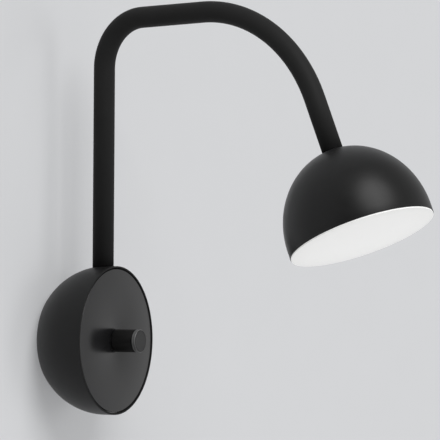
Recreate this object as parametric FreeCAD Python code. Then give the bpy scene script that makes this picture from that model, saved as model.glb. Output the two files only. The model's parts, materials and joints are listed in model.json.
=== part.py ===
import FreeCAD, Part
import math
import os

# Wall light with a half-round base, a bent swivelling arm and a half-round LED shade.
# Millimetres.  +Z is up, the wall is the plane Y = 0 and the light reaches out along -Y.
# The origin is the centre of the wall plate, on the wall.

V = FreeCAD.Vector
X_AXIS = V(1, 0, 0)
Z_AXIS = V(0, 0, 1)

# ---------------------------------------------------------------- driving dimensions

# Whole light
lamp_height = 272.6          # lowest point of the base to the top of the arm

# Half-round base
dome_radius = 49.0
dome_depth = 43.0            # wall to the front edge
dome_curve_excess = 3.0      # half axis of the curve along the depth, beyond the depth
dome_lip = 7.2               # straight stretch behind the front edge
dome_wall = 1.2
wall_gap = 1.8               # shadow gap between the base and the wall
edge_round = 0.35

# Face plate and the ring that carries it
face_recess = 1.5
face_gap = 0.9               # shadow gap round the plate
face_thick = 1.2
face_edge = 0.25
ring_thick = 3.0
ring_width = 9.6
ring_notch = 23.0            # open at the top for the swivel block
ring_play = 0.05
stud_count = 3
stud_radius = 1.5
stud_inset = 5.25            # stud centres inside the ring's outer edge
stud_length = 6.6
stud_nut_flats = 5.5
stud_nut_height = 2.4
stud_play = 0.15

# Wall plate
plate_play = 0.8             # wall plate's edge to the inside of the base
plate_thick = 2.0
wall_hole_spacing = 50.0
wall_hole_radius = 2.25
cable_hole_radius = 6.5
grommet_bore = 4.5
grommet_flange = 1.2
grommet_lip = 1.2
grommet_play = 0.05
hook_width = 14.0
hook_step = 4.0              # how far the hook stands in front of the wall plate's back
hook_foot = 21.2             # height where the hook leaves the plate
hook_sunk = 0.9              # hook's top inside the plate's edge
hook_notch_play = 1.0
clip_thick = 1.6
clip_width = 11.0
clip_play = 0.25
clip_foot_depth = 11.0
ear_width = 12.0
ear_length = 13.0
ear_thick = 2.0
ear_inset = 0.3              # outer face of the ear inside the plate's edge

# Set screw that locks the base to the ear
set_screw_radius = 1.95
set_screw_place = 9.0        # from the wall
set_screw_sunk = 0.8
set_screw_socket = 2.0
weld_nut_flats = 7.0
weld_nut_height = 3.7
screw_play = 0.08

# Terminal block, earth screw and driver on the wall plate
terminal_width = 26.0
terminal_height = 10.7
terminal_depth = 14.0
terminal_bottom = 8.3
terminal_poles = 3
terminal_pitch = 8.0
terminal_well = 2.3
terminal_well_depth = 5.0
terminal_screw_radius = 2.0
terminal_screw_height = 2.4
terminal_slot_width = 0.6
terminal_slot_depth = 0.8
terminal_wire_hole = 1.4
earth_x = -19.0
earth_z = 12.0
earth_screw_radius = 1.9
earth_head_radius = 3.6
earth_head_height = 2.4
earth_slot_width = 0.8
earth_slot_depth = 1.2
earth_washer_radius = 4.2
earth_washer_thick = 0.8
driver_width = 32.0
driver_clearance = 0.84      # driver's lower corners to the inside of the base
driver_depth = 22.0
driver_top = -9.5
driver_round = 1.5
driver_port_depth = 16.5     # where the leads go in, from the wall plate's front
lug_length = 6.2
lug_height = 6.0
lug_thick = 2.0
lug_screw_radius = 1.5
lug_head_radius = 2.7
lug_head_height = 1.8

# Dimmer
dimmer_size = 19.0
dimmer_depth = 12.5
dimmer_corner = 1.2
dimmer_bush_radius = 3.5
dimmer_bush_length = 3.7     # in front of the face plate's back
dimmer_nut_flats = 10.0
dimmer_nut_height = 2.0
dimmer_pin_count = 3
dimmer_pin_pitch = 4.0
dimmer_pin_width = 1.2
dimmer_pin_length = 2.0
dimmer_pin_thick = 0.6
dimmer_pin_place = 1.5       # above the body's lower side
shaft_radius = 3.0
shaft_length = 11.6          # in front of the bush
shaft_tail = 8.0             # behind the face plate's back
shaft_collar_radius = 4.6
shaft_collar_thick = 2.0
shaft_collar_place = 4.0     # behind the face plate's back
shaft_flat = 1.0
running_play = 0.05
free_play = 0.35

# Knob
knob_radius = 7.5
knob_reach = 18.4            # face plate to the knob's end
knob_gap = 0.5
knob_pocket_radius = 6.15
knob_pocket_depth = 2.5
knob_end_band = 1.8
knob_groove_width = 0.7
knob_groove_depth = 0.6
knob_chamfer = 0.4
knob_back_band = 0.8
knurl_count = 60
knurl_depth = 0.28
insert_radius = 4.6
insert_play = 0.03
insert_end_cover = 2.4

# Arm
tube_radius = 7.0
tube_wall = 1.2
tube_inset = 10.3            # swivel axis behind the base's front edge
tube_sunk = 3.9              # tube's lower end inside the base's largest radius
bend_one_radius = 34.0
bend_one_angle = 86.0
tube_run = 50.7
bend_two_radius = 94.4
bend_two_angle = 70.0
tube_drop = 38.0
arm_turn = -9.0              # the arm stands turned this far from straight out
tube_hole_play = 0.35

# Swivel
stem_radius = 5.0
stem_plug_length = 13.0
stem_plug_play = 0.04
stem_thread_radius = 4.0
stem_flat = 3.4
stem_bore = 2.2
stem_chamfer = 0.4
friction_washer_radius = 7.1
friction_washer_thick = 0.75
axial_play = 0.05
block_height = 14.0
block_width = 21.0
block_front = 6.8            # in front of the swivel axis
block_back = 6.8
block_shell_play = 0.15
wing_reach = 20.0
wing_half_height = 4.3
wing_depth = 6.5
wing_screw_x = 16.0
wing_screw_inset = 6.35      # screw centres inside the ring's outer edge
wing_screw_radius = 1.5
wing_screw_length = 7.5
wing_head_radius = 2.75
wing_head_height = 1.8
wing_socket = 2.0
wing_socket_depth = 1.0
wing_hole_spare = 0.5        # beyond the screw's end
swivel_half_range = 80.0
stop_tab_half = 12.0
stop_tab_direction = 90.0    # the tab points to the wall when the arm is straight out
stop_gap_angle = 2.0
stop_post_angle = 20.0
stop_inner = 7.4
stop_outer = 9.8
stop_tab_outer = 9.6
stop_tab_root = 1.0          # how far the tab starts inside the washer
stop_washer_radius = 6.6
stop_washer_thick = 1.5
wave_washer_radius = 6.5
wave_washer_thick = 0.7
stem_nut_flats = 12.0
stem_nut_height = 3.2
stem_tail = 0.9

# Shade
shade_radius = 49.0
shade_curve = 54.4           # half axis of the curve, along the shade's axis
shade_lip = 6.5
shade_wall = 1.5
shade_flat = 7.4             # radius of the flat spot under the tube
shade_crown = 1.9            # wall thickness at the flat spot
nipple_radius = 5.0
nipple_bore = 2.6
nipple_plug_length = 14.0
nipple_length = 12.5         # below the flat spot
nipple_play = 0.1
shade_washer_radius = 8.8
shade_washer_thick = 1.5
shade_nut_flats = 14.0
shade_nut_height = 4.0

# Heat sink and light source, heights from the shade's rim plane
hub_radius = 11.0
hub_wall = 1.8
hub_roof = 3.0
sink_plate_top = 24.0
sink_plate_thick = 3.0
sink_plate_rim = 0.9         # beyond the reflector's top
fin_count = 12
fin_thick = 1.6
fin_inner_top = 46.0
fin_outer_top = 33.0
fin_inset = 2.0              # fins stop short of the plate's edge
fin_root = 0.5               # fins start inside the plate
board_gap = 0.6              # board's edge to the reflector
board_thick = 1.6
board_hole = 5.0
led_size = 3.0
led_height = 0.8
led_start = 30.0             # direction of the first chip and the first board screw
led_inner_count = 6
led_inner_circle = 13.5
led_outer_count = 12
led_outer_inset = 9.0        # outer ring of chips inside the board's edge
board_screw_count = 3
board_screw_inset = 3.5      # screw centres inside the board's edge
board_screw_radius = 1.5
board_head_radius = 2.6
board_head_height = 1.6
connector_length = 6.0
connector_width = 5.0
connector_height = 3.6
connector_place = 8.2
reflector_thick = 0.8
reflector_top_radius = 36.6
reflector_inset = 0.65       # low edge inside the diffuser holder
reflector_bottom = 7.6
holder_wall = 2.0
holder_height = 6.4
holder_play = 0.05
diffuser_step = 0.4          # diffuser's edge inside the shade's
diffuser_flange = 1.0
diffuser_thick = 2.0
diffuser_skirt_wall = 1.6
diffuser_skirt_height = 6.0
diffuser_play = 0.15
diffuser_round = 0.4

# Leads
arm_lead_radius = 1.6
arm_lead_bend = 4.1
lamp_lead_radius = 1.6
dimmer_lead_radius = 1.2
mains_lead_radius = 1.2
mains_lead_straight = 4.0
mains_lead_bow = 4.0
mains_lead_bend = 4.5
mains_lead_bow_bend = 3.4
lead_end_play = 0.1
lamp_lead_place = 10.7       # sideways place on the driver
lamp_lead_over = 8.0         # sideways place above the dimmer
lamp_lead_above = 3.6        # above the dimmer
lamp_lead_behind = 5.6       # behind the dimmer
lamp_lead_fall = 0.6
lamp_lead_knee = 3.0         # height where it turns down to the driver
lamp_lead_bends = (4.0, 4.5, 12.0)
dimmer_lead_place = -8.0     # sideways place on the driver
dimmer_lead_height = 4.5
dimmer_lead_bend = 6.0

# ---------------------------------------------------------------- derived places

dome_curve = dome_depth + dome_curve_excess


def dome_reach(height, radius, curve, lip):
    """Radius of a dome's outline at a height above its rim."""
    if height <= lip:
        return radius
    return radius * math.sqrt(1 - ((height - lip) / curve) ** 2)


def inside_reach(from_wall):
    """Radius of the room inside the base, at a distance from the wall."""
    return dome_reach(dome_depth - from_wall, dome_radius - dome_wall, dome_curve - dome_wall, dome_lip)


face_front = -(dome_depth - face_recess)
face_back = face_front + face_thick
face_radius = dome_radius - dome_wall - face_gap
ring_outer = dome_radius - dome_wall - ring_play
ring_back = face_back + ring_thick
stud_circle = ring_outer - stud_inset
plate_radius = inside_reach(wall_gap) - plate_play
hook_top = plate_radius - hook_sunk
ear_height = plate_radius - ear_inset
weld_nut_inner = inside_reach(set_screw_place) - weld_nut_height
driver_corner = inside_reach(plate_thick) - driver_clearance
driver_height = math.sqrt(driver_corner ** 2 - (driver_width / 2) ** 2) + driver_top
tube_from_wall = dome_depth - tube_inset
tube_foot = dome_radius - tube_sunk
plate_front = -plate_thick
swivel_axis = V(0, -tube_from_wall, 0)
tube_bore = tube_radius - tube_wall
bend_one_rise = bend_one_radius * math.sin(math.radians(bend_one_angle))
run_rise = tube_run * math.cos(math.radians(bend_one_angle))
bend_two_rise = bend_two_radius * (1 - math.sin(math.radians(bend_one_angle)))
tube_rise = lamp_height - dome_radius - tube_radius - bend_one_rise - run_rise - bend_two_rise
wing_screw_z = math.sqrt((ring_outer - wing_screw_inset) ** 2 - wing_screw_x ** 2)
wing_bottom = wing_screw_z - wing_half_height
wing_top = wing_screw_z + wing_half_height
block_top = tube_foot - 2 * axial_play - friction_washer_thick
block_bottom = block_top - block_height
lower_washer_bottom = block_bottom - axial_play - friction_washer_thick
stop_washer_top = lower_washer_bottom - axial_play
stop_washer_bottom = stop_washer_top - stop_washer_thick
wave_washer_bottom = stop_washer_bottom - wave_washer_thick
stem_nut_bottom = wave_washer_bottom - stem_nut_height
stem_bottom = stem_nut_bottom - stem_tail
knob_back = face_front - knob_gap
knob_end = face_front - knob_reach
pocket_floor = knob_back - knob_pocket_depth
bush_end = face_back - dimmer_bush_length
shaft_end = bush_end - shaft_length
shade_height = shade_lip + shade_curve * math.sqrt(1 - (shade_flat / shade_radius) ** 2)
crown_floor = shade_height - shade_crown
washer_floor = crown_floor - shade_washer_thick
hub_top = washer_floor
hub_ceiling = hub_top - hub_roof
sink_plate_bottom = sink_plate_top - sink_plate_thick
board_bottom = sink_plate_bottom - board_thick
holder_outer = shade_radius - shade_wall - holder_play
holder_inner = holder_outer - holder_wall
diffuser_radius = shade_radius - diffuser_step
reflector_low_radius = holder_inner - reflector_inset
board_radius = reflector_top_radius - board_gap
board_screw_circle = board_radius - board_screw_inset
led_outer_circle = board_radius - led_outer_inset
sink_plate_radius = reflector_top_radius + sink_plate_rim
fin_reach = sink_plate_radius - fin_inset


# ---------------------------------------------------------------- helpers

def bar(radius, start, end):
    """A round bar between two points."""
    return Part.makeCylinder(radius, (end - start).Length, start, end - start)


def tube(outer, inner, start, end):
    """A round bar with a hole along it."""
    return bar(outer, start, end).cut(bar(inner, start, end))


def box(low, high):
    """A block between two opposite corners."""
    return Part.makeBox(high.x - low.x, high.y - low.y, high.z - low.z, low)


def hexagon(flats, start, end, bore=0.0):
    """A hexagonal bar from start to end, with a hole if a bore is given."""
    corner = flats / math.sqrt(3)
    points = [V(corner * math.cos(math.radians(60 * n)), corner * math.sin(math.radians(60 * n)), 0)
              for n in range(7)]
    prism = Part.Face(Part.makePolygon(points)).extrude(V(0, 0, (end - start).Length))
    prism.Placement = FreeCAD.Placement(start, FreeCAD.Rotation(Z_AXIS, end - start))
    return prism.cut(bar(bore, start, end)) if bore else prism


def turned(outline):
    """A solid turned about Z from (radius, height) corners."""
    points = [V(radius, 0, height) for radius, height in outline]
    face = Part.Face(Part.makePolygon(points + [points[0]]))
    return face.revolve(V(0, 0, 0), Z_AXIS, 360)


def sector(outer, inner, low, high, middle, half_angle):
    """Part of a ring about Z; middle is the direction of its centre, in degrees from +X."""
    pie = Part.makeCylinder(outer, high - low, V(0, 0, low), Z_AXIS, 2 * half_angle)
    pie.rotate(V(0, 0, 0), Z_AXIS, middle - half_angle)
    return pie.cut(Part.makeCylinder(inner, high - low, V(0, 0, low)))


def spots(count, circle, height=0.0, start=0.0):
    """Evenly spaced points on a circle about Z."""
    angles = [math.radians(start + 360.0 * n / count) for n in range(count)]
    return [V(circle * math.cos(a), circle * math.sin(a), height) for a in angles]


def group(shapes):
    """Several separate solids in one node."""
    return Part.makeCompound(shapes)


def dome(radius, curve, lip, top):
    """A solid dome on its rim plane Z = 0: straight lip, elliptical curve, flat top."""
    top_radius = dome_reach(top, radius, curve, lip)
    half = math.asin((top - lip) / curve) / 2
    rim = V(radius, 0, 0)
    shoulder = V(radius, 0, lip)
    crest = V(top_radius, 0, top)
    along = V(0, 0, lip + curve)
    across = V(radius, 0, lip)
    centre = V(0, 0, lip)
    long_first = (along, across) if curve > radius else (across, along)
    ellipse = Part.Ellipse(long_first[0], long_first[1], centre)
    middle = V(radius * math.cos(half), 0, lip + curve * math.sin(half))
    ends = sorted([ellipse.parameter(shoulder), ellipse.parameter(crest)])
    arc = Part.ArcOfEllipse(ellipse, ends[0], ends[1])
    if not ends[0] < ellipse.parameter(middle) < ends[1]:
        arc = Part.ArcOfEllipse(ellipse, ends[1], ends[0] + 2 * math.pi)
    edges = [Part.makeLine(V(0, 0, 0), rim), Part.makeLine(rim, shoulder), arc.toShape(),
             Part.makeLine(crest, V(0, 0, top)), Part.makeLine(V(0, 0, top), V(0, 0, 0))]
    return Part.Face(Part.Wire(Part.__sortEdges__(edges))).revolve(V(0, 0, 0), Z_AXIS, 360)


def pipe(edges, radius):
    """A round bar swept along joined lines and tangent arcs."""
    path = Part.Wire(edges)
    start = edges[0].valueAt(edges[0].FirstParameter)
    direction = edges[0].tangentAt(edges[0].FirstParameter)
    section = Part.Wire(Part.makeCircle(radius, start, direction))
    return path.makePipeShell([section], True, True)


def rounded_route(corners, radii):
    """Straight runs between corners, each inner corner rounded with a tangent arc."""
    edges = []
    here = corners[0]
    for before, corner, after, radius in zip(corners, corners[1:], corners[2:], radii):
        inward = (before - corner).normalize()
        outward = (after - corner).normalize()
        half = math.radians(180) / 2 - inward.getAngle(outward) / 2
        trim = radius * math.tan(half)
        middle = (inward + outward).normalize() * (radius / math.cos(half) - radius)
        arc_start = corner + inward * trim
        arc_end = corner + outward * trim
        edges.append(Part.makeLine(here, arc_start))
        edges.append(Part.Arc(arc_start, corner + middle, arc_end).toShape())
        here = arc_end
    edges.append(Part.makeLine(here, corners[-1]))
    return edges


def facing_out(shape):
    """Stand a shape made about Z on the base: its Z runs to the wall from the front edge."""
    shape.rotate(V(0, 0, 0), X_AXIS, -90)
    shape.translate(V(0, -dome_depth, 0))
    return shape


def on_swivel(shape):
    """Move a shape made about Z onto the swivel axis."""
    shape.translate(swivel_axis)
    return shape


def turned_arm(shape):
    """Turn a piece of the arm from straight out to where the arm stands."""
    shape.rotate(swivel_axis, Z_AXIS, arm_turn)
    return shape


# ---------------------------------------------------------------- the arm's line

def arm_line():
    """The tube's centre line from its lower end, its end point and the angle there."""
    foot = V(0, -tube_from_wall, tube_foot)
    point = V(0, -tube_from_wall, tube_rise)
    edges = [Part.makeLine(foot, point)]
    angle = 0.0
    bends = ((bend_one_radius, bend_one_angle, tube_run), (bend_two_radius, bend_two_angle, tube_drop))
    for radius, bend, run in bends:
        centre = point - V(0, math.cos(angle), math.sin(angle)) * radius
        middle_angle = angle + math.radians(bend) / 2
        angle += math.radians(bend)
        middle = centre + V(0, math.cos(middle_angle), math.sin(middle_angle)) * radius
        bend_end = centre + V(0, math.cos(angle), math.sin(angle)) * radius
        edges.append(Part.Arc(point, middle, bend_end).toShape())
        point = bend_end + V(0, -math.sin(angle), math.cos(angle)) * run
        edges.append(Part.makeLine(bend_end, point))
    return edges, point, angle


def on_shade(shape):
    """Put a shape made on the shade's rim plane, axis Z, at the end of the arm."""
    end, angle = arm_line()[1:]
    heading = V(0, -math.sin(angle), math.cos(angle))
    shape.rotate(V(0, 0, 0), X_AXIS, -(180 - math.degrees(angle)))
    shape.translate(end + heading * shade_height)
    return turned_arm(shape)


# ---------------------------------------------------------------- base

def inner_dome(clearance=0.0):
    """The space inside the base, smaller all round by a clearance."""
    less = dome_wall + clearance
    return facing_out(dome(dome_radius - less, dome_curve - less, dome_lip, dome_depth - wall_gap))


def base_shell():
    outer = facing_out(dome(dome_radius, dome_curve, dome_lip, dome_depth - wall_gap))
    front = [edge for edge in outer.Edges if abs(edge.CenterOfMass.y + dome_depth) < 0.01]
    shell = outer.makeFillet(edge_round, front[:1]).cut(inner_dome())
    arm_hole = on_swivel(bar(tube_radius + tube_hole_play, V(0, 0, 0), V(0, 0, dome_radius)))
    screw_hole = bar(set_screw_radius + screw_play, set_screw_point(0), set_screw_point(dome_radius))
    return shell.cut(arm_hole).cut(screw_hole)


def set_screw_point(depth):
    """A point on the set screw's axis, so far below the centre."""
    return V(0, -set_screw_place, -depth)


def weld_nut():
    nut = hexagon(weld_nut_flats, set_screw_point(weld_nut_inner), set_screw_point(dome_radius),
                  set_screw_radius + screw_play)
    return nut.common(inner_dome(ring_play))


def set_screw():
    outside = dome_reach(dome_depth - set_screw_place, dome_radius, dome_curve, dome_lip)
    head = outside - set_screw_sunk
    body = bar(set_screw_radius, set_screw_point(ear_height), set_screw_point(head))
    socket = hexagon(set_screw_socket, set_screw_point(head - set_screw_socket), set_screw_point(head))
    return body.cut(socket)


def wall_plate():
    plate = bar(plate_radius, V(0, 0, 0), V(0, plate_front, 0))
    half = hook_width / 2
    side = half + hook_notch_play
    notch = box(V(-side, plate_front, hook_foot), V(side, 0, plate_radius))
    riser = box(V(-half, -hook_step - plate_thick, hook_foot - plate_thick), V(half, 0, hook_foot))
    hook = box(V(-half, -hook_step - plate_thick, hook_foot), V(half, -hook_step, hook_top))
    ear_half = ear_width / 2
    ear = box(V(-ear_half, -ear_length, -ear_height), V(ear_half, 0, -ear_height + ear_thick))
    plate = plate.cut(notch).fuse(riser).fuse(hook).fuse(ear).removeSplitter()
    for x in (-wall_hole_spacing / 2, wall_hole_spacing / 2):
        plate = plate.cut(bar(wall_hole_radius, V(x, 0, 0), V(x, plate_front, 0)))
    plate = plate.cut(bar(cable_hole_radius, V(0, 0, 0), V(0, plate_front, 0)))
    plate = plate.cut(bar(earth_screw_radius + screw_play, V(earth_x, 0, earth_z),
                          V(earth_x, plate_front, earth_z)))
    for place in lug_places():
        plate = plate.cut(bar(lug_screw_radius + screw_play, place, place + V(0, plate_front, 0)))
    return plate


def hook_clip():
    """Bent clip inside the base: a curved foot on the dome and a tongue behind the hook."""
    half = clip_width / 2
    skin = inner_dome(ring_play).cut(inner_dome(ring_play + clip_thick))
    reach = box(V(-half, -wall_gap - clip_foot_depth, hook_foot), V(half, -wall_gap, dome_radius))
    foot = skin.common(reach)
    front = -hook_step + clip_play
    tongue = box(V(-half, front, hook_foot + 2 * clip_play), V(half, front + clip_thick, dome_radius))
    tongue = tongue.common(inner_dome(ring_play))
    return foot.fuse(tongue).removeSplitter()


def cable_grommet():
    play = grommet_play
    neck = cable_hole_radius - play
    back = bar(neck, V(0, 0, 0), V(0, plate_front - play, 0))
    flange = bar(neck + grommet_lip, V(0, plate_front - play, 0),
                 V(0, plate_front - play - grommet_flange, 0))
    front = V(0, plate_front - play - grommet_flange, 0)
    return back.fuse(flange).cut(bar(grommet_bore, V(0, 0, 0), front)).removeSplitter()


def pole_places():
    """Centres of the terminal block's poles, on its front face."""
    first = -(terminal_poles - 1) / 2
    middle = terminal_bottom + terminal_height / 2
    return [V((first + n) * terminal_pitch, plate_front - terminal_depth, middle)
            for n in range(terminal_poles)]


def terminal_block():
    half = terminal_width / 2
    top = terminal_bottom + terminal_height
    block = box(V(-half, plate_front - terminal_depth, terminal_bottom), V(half, plate_front, top))
    for place in pole_places():
        block = block.cut(bar(terminal_well, place, place + V(0, terminal_well_depth, 0)))
        wire = V(place.x, plate_front - terminal_depth / 2, terminal_bottom)
        block = block.cut(bar(terminal_wire_hole, wire, wire + V(0, 0, terminal_height)))
    return block


def terminal_screws():
    screws = []
    for place in pole_places():
        floor = place + V(0, terminal_well_depth, 0)
        head = floor - V(0, terminal_screw_height, 0)
        slot = box(head - V(terminal_screw_radius, 0, terminal_slot_width / 2),
                   head + V(terminal_screw_radius, terminal_slot_depth, terminal_slot_width / 2))
        screws.append(bar(terminal_screw_radius, floor, head).cut(slot))
    return group(screws)


def earth_washer():
    place = V(earth_x, plate_front, earth_z)
    return tube(earth_washer_radius, earth_screw_radius + screw_play, place,
                place - V(0, earth_washer_thick, 0))


def earth_screw():
    seat = V(earth_x, plate_front - earth_washer_thick, earth_z)
    shank = bar(earth_screw_radius, V(earth_x, 0, earth_z), seat)
    head = bar(earth_head_radius, seat, seat - V(0, earth_head_height, 0))
    front = seat - V(0, earth_head_height, 0)
    slot = box(front - V(earth_head_radius, 0, earth_slot_width / 2),
               front + V(earth_head_radius, earth_slot_depth, earth_slot_width / 2))
    return shank.fuse(head).cut(slot).removeSplitter()


def lug_places():
    """Screw centres of the driver's two lugs, on the wall."""
    x = driver_width / 2 + lug_length / 2
    z = driver_top - driver_round - lug_height / 2
    return [V(-x, 0, z), V(x, 0, z)]


def driver_case():
    half = driver_width / 2
    case = box(V(-half, plate_front - driver_depth, driver_top - driver_height),
               V(half, plate_front, driver_top))
    case = case.makeFillet(driver_round, [edge for edge in case.Edges
                                          if edge.CenterOfMass.y < plate_front - 0.1])
    for place in lug_places():
        low = place - V(lug_length / 2, lug_thick + plate_thick, lug_height / 2)
        high = place + V(lug_length / 2, -plate_thick, lug_height / 2)
        case = case.fuse(box(low, high))
    for place in lug_places():
        case = case.cut(bar(lug_screw_radius + screw_play, place + V(0, plate_front, 0),
                            place + V(0, plate_front - lug_thick, 0)))
    return case.removeSplitter()


def driver_screws():
    screws = []
    for place in lug_places():
        seat = place + V(0, plate_front - lug_thick, 0)
        head = bar(lug_head_radius, seat, seat - V(0, lug_head_height, 0))
        screws.append(bar(lug_screw_radius, place, seat).fuse(head).removeSplitter())
    return group(screws)


def stud_places(start_y):
    """Stud centres round the face plate at a depth: one at the bottom, the others spaced evenly."""
    return [V(spot.x, start_y, spot.y) for spot in spots(stud_count, stud_circle, 0, -90)]


def wing_screw_places(start_y):
    return [V(-wing_screw_x, start_y, wing_screw_z), V(wing_screw_x, start_y, wing_screw_z)]


def mounting_ring():
    ring = tube(ring_outer, ring_outer - ring_width, V(0, face_back, 0), V(0, ring_back, 0))
    half = ring_notch / 2
    ring = ring.cut(box(V(-half, face_back, 0), V(half, ring_back, dome_radius)))
    for place in stud_places(face_back):
        ring = ring.cut(bar(stud_radius + stud_play, place, place + V(0, ring_thick, 0)))
    for place in wing_screw_places(face_back):
        ring = ring.cut(bar(wing_screw_radius + screw_play, place, place + V(0, ring_thick, 0)))
        ring = ring.cut(bar(wing_head_radius + screw_play, place,
                            place + V(0, wing_head_height + screw_play, 0)))
    return ring


def block_screws():
    screws = []
    for place in wing_screw_places(face_back + screw_play):
        head_back = place + V(0, wing_head_height, 0)
        shank = bar(wing_screw_radius, head_back, place + V(0, wing_screw_length, 0))
        socket = hexagon(wing_socket, place, place + V(0, wing_socket_depth, 0))
        screws.append(bar(wing_head_radius, place, head_back).fuse(shank).cut(socket))
    return group(screws)


def face_plate():
    plate = bar(face_radius, V(0, face_back, 0), V(0, face_front, 0))
    front = [edge for edge in plate.Edges if abs(edge.CenterOfMass.y - face_front) < 0.01]
    plate = plate.makeChamfer(face_edge, front[:1])
    plate = plate.cut(bar(dimmer_bush_radius + screw_play, V(0, face_back, 0), V(0, face_front, 0)))
    for place in stud_places(face_back):
        plate = plate.fuse(bar(stud_radius, place, place + V(0, stud_length, 0)))
    return plate.removeSplitter()


def plate_nuts():
    return group([hexagon(stud_nut_flats, place, place + V(0, stud_nut_height, 0), stud_radius + screw_play)
                  for place in stud_places(ring_back)])


# ---------------------------------------------------------------- dimmer and knob

def dimmer_body():
    half = dimmer_size / 2
    back = face_back + dimmer_depth
    body = box(V(-half, face_back, -half), V(half, back, half))
    along = [edge for edge in body.Edges if abs(edge.tangentAt(0).y) > 0.9]
    body = body.makeChamfer(dimmer_corner, along)
    body = body.fuse(bar(dimmer_bush_radius, V(0, face_back, 0), V(0, bush_end, 0)))
    bore = bar(shaft_radius + running_play, V(0, bush_end, 0), V(0, face_back + shaft_tail + free_play, 0))
    collar_low = face_back + shaft_collar_place - free_play
    collar_high = collar_low + shaft_collar_thick + 2 * free_play
    chamber = bar(shaft_collar_radius + free_play, V(0, collar_low, 0), V(0, collar_high, 0))
    body = body.cut(bore).cut(chamber)
    for n in range(dimmer_pin_count):
        x = (n - (dimmer_pin_count - 1) / 2) * dimmer_pin_pitch
        low = V(x - dimmer_pin_width / 2, back, dimmer_pin_place - half)
        body = body.fuse(box(low, low + V(dimmer_pin_width, dimmer_pin_length, dimmer_pin_thick)))
    return body.removeSplitter()


def dimmer_nut():
    return hexagon(dimmer_nut_flats, V(0, face_front, 0), V(0, face_front - dimmer_nut_height, 0),
                   dimmer_bush_radius + screw_play)


def flat_cut(radius, flat, start_y, end_y):
    """The part of a round shaft that its driving flat takes away."""
    return box(V(radius - flat, end_y, -2 * radius), V(2 * radius, start_y, 2 * radius))


def dimmer_shaft():
    collar_front = face_back + shaft_collar_place
    shaft = bar(shaft_radius, V(0, face_back + shaft_tail, 0), V(0, shaft_end, 0))
    collar = bar(shaft_collar_radius, V(0, collar_front, 0), V(0, collar_front + shaft_collar_thick, 0))
    return shaft.cut(flat_cut(shaft_radius, shaft_flat, pocket_floor, shaft_end)).fuse(collar)


def insert_end():
    return knob_end + insert_end_cover


def knob_insert():
    sleeve = bar(insert_radius, V(0, pocket_floor, 0), V(0, insert_end(), 0))
    end = shaft_end - insert_play
    bore = bar(shaft_radius + insert_play, V(0, pocket_floor, 0), V(0, end, 0))
    return sleeve.cut(bore.cut(flat_cut(shaft_radius, shaft_flat - insert_play, pocket_floor, end)))


def knurled_bar(start_y, end_y):
    """A bar with straight V grooves round it, along Y."""
    steps = 2 * knurl_count
    radii = [knob_radius - knurl_depth * (n % 2) for n in range(steps + 1)]
    angles = [2 * math.pi * n / steps for n in range(steps + 1)]
    points = [V(r * math.cos(a), start_y, r * math.sin(a)) for r, a in zip(radii, angles)]
    points[-1] = points[0]
    return Part.Face(Part.makePolygon(points)).extrude(V(0, end_y - start_y, 0))


def dimmer_knob():
    groove_front = knob_end + knob_end_band
    groove_back = groove_front + knob_groove_width
    grip_back = knob_back - knob_back_band
    end_band = bar(knob_radius, V(0, groove_front, 0), V(0, knob_end, 0))
    rim = [edge for edge in end_band.Edges if abs(edge.CenterOfMass.y - knob_end) < 0.01]
    end_band = end_band.makeChamfer(knob_chamfer, rim[:1])
    neck = bar(knob_radius - knob_groove_depth, V(0, groove_back, 0), V(0, groove_front, 0))
    grip = knurled_bar(grip_back, groove_back)
    skirt = bar(knob_radius - knurl_depth, V(0, knob_back, 0), V(0, grip_back, 0))
    knob = grip.fuse([neck, skirt, end_band])
    pocket = bar(knob_pocket_radius, V(0, knob_back, 0), V(0, pocket_floor, 0))
    bore = bar(insert_radius + insert_play, V(0, pocket_floor, 0), V(0, insert_end() - insert_play, 0))
    return knob.cut(pocket).cut(bore).removeSplitter()


# ---------------------------------------------------------------- swivel

def swivel_block():
    """Bearing block: body round the stem, two screwed wings, and two stop posts underneath."""
    half = block_width / 2
    axis_y = swivel_axis.y
    body = box(V(-half, axis_y - block_front, block_bottom), V(half, axis_y + block_back, block_top))
    wings = box(V(-wing_reach, ring_back, wing_bottom), V(wing_reach, ring_back + wing_depth, wing_top))
    block = body.fuse(wings)
    aside = swivel_half_range + stop_tab_half + stop_gap_angle + stop_post_angle / 2
    for direction in (stop_tab_direction - aside, stop_tab_direction + aside):
        post = sector(stop_outer, stop_inner, stop_washer_bottom, block_bottom, direction,
                      stop_post_angle / 2)
        block = block.fuse(on_swivel(post))
    block = block.cut(on_swivel(bar(stem_radius + running_play, V(0, 0, block_bottom),
                                    V(0, 0, block_top))))
    for place in wing_screw_places(ring_back):
        hole = V(0, wing_screw_length - ring_thick + wing_hole_spare, 0)
        block = block.cut(bar(wing_screw_radius + screw_play, place, place + hole))
    return block.common(inner_dome(block_shell_play)).removeSplitter()


def friction_washer(bottom):
    return on_swivel(tube(friction_washer_radius, stem_radius + running_play, V(0, 0, bottom),
                          V(0, 0, bottom + friction_washer_thick)))


def upper_friction_washer():
    return friction_washer(block_top + axial_play)


def lower_friction_washer():
    return friction_washer(lower_washer_bottom)


def arm_stem():
    """Turned bush in the tube's lower end: plug, bearing neck, then a thread with two flats."""
    outline = [(stem_bore, stem_bottom), (stem_thread_radius - stem_chamfer, stem_bottom),
               (stem_thread_radius, stem_bottom + stem_chamfer), (stem_thread_radius, stop_washer_top),
               (stem_radius, stop_washer_top), (stem_radius, tube_foot),
               (tube_bore - stem_plug_play, tube_foot),
               (tube_bore - stem_plug_play, tube_foot + stem_plug_length),
               (stem_bore, tube_foot + stem_plug_length)]
    stem = turned(outline)
    for side in (-1, 1):
        flat = box(V(stem_flat, -stem_radius, stem_bottom), V(2 * stem_radius, stem_radius, stop_washer_top))
        if side < 0:
            flat = flat.mirror(V(0, 0, 0), X_AXIS)
        stem = stem.cut(flat)
    return turned_arm(on_swivel(stem))


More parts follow.
